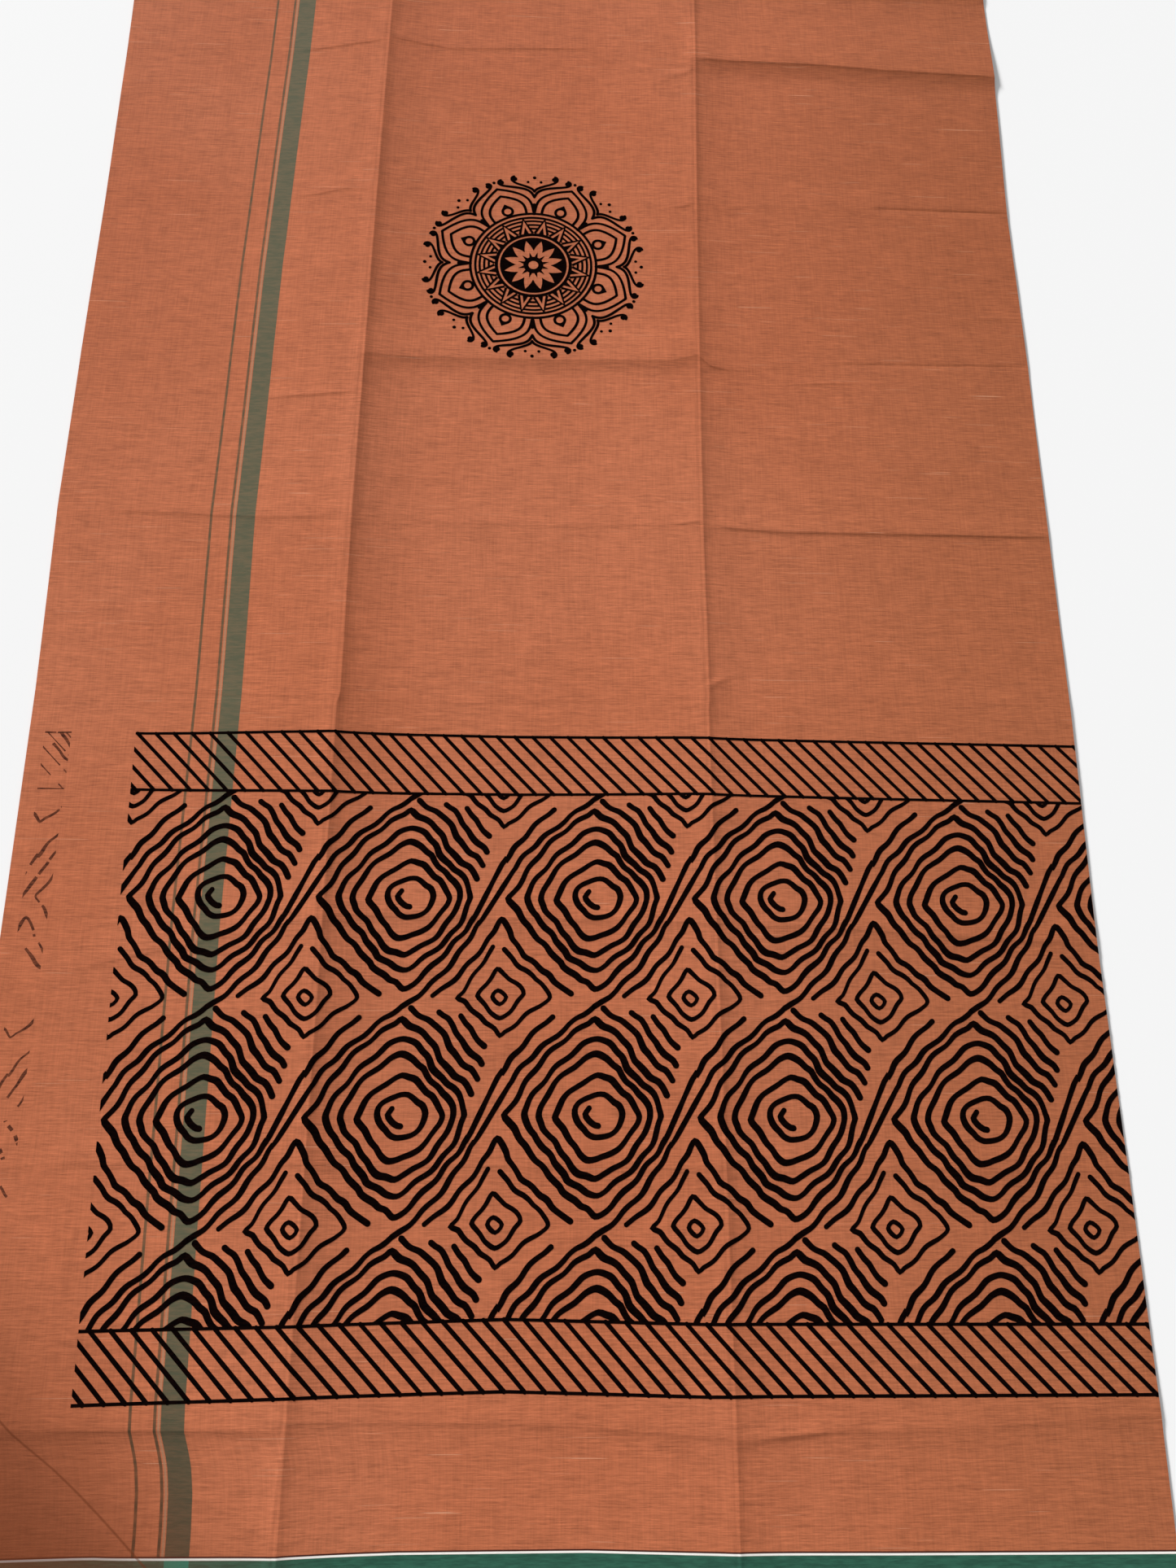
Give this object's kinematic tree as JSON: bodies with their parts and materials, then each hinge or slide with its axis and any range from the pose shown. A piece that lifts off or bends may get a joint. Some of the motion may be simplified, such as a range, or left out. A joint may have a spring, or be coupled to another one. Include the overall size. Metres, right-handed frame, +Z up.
{
  "type": "lungi",
  "caption": "Unstitched rectangular wrap cloth of light printed cotton, laid out flat, with standing packet creases and a narrow hem at each end.",
  "frame": {"origin": "middle of the cloth on the surface that it lies on", "axes": "+X across the cloth, away from its striped side; +Y along its length, away from the banded end; +Z up out of its printed face"},
  "size_m": [1.207, 2.01, 0.0077],
  "materials": {
    "woven_cotton": "matt plain weave, terracotta, with olive green warp stripes",
    "end_band": "matt plain weave, dark green weft over terracotta warp",
    "print_ink": "black pigment screen print on the face of the cloth",
    "sewing_thread": "cotton lockstitch thread"
  },
  "bodies": {
    "root": {"cloth": "woven_cotton", "hem_near": "end_band", "hem_far": "woven_cotton"}
  },
  "joints": []
}
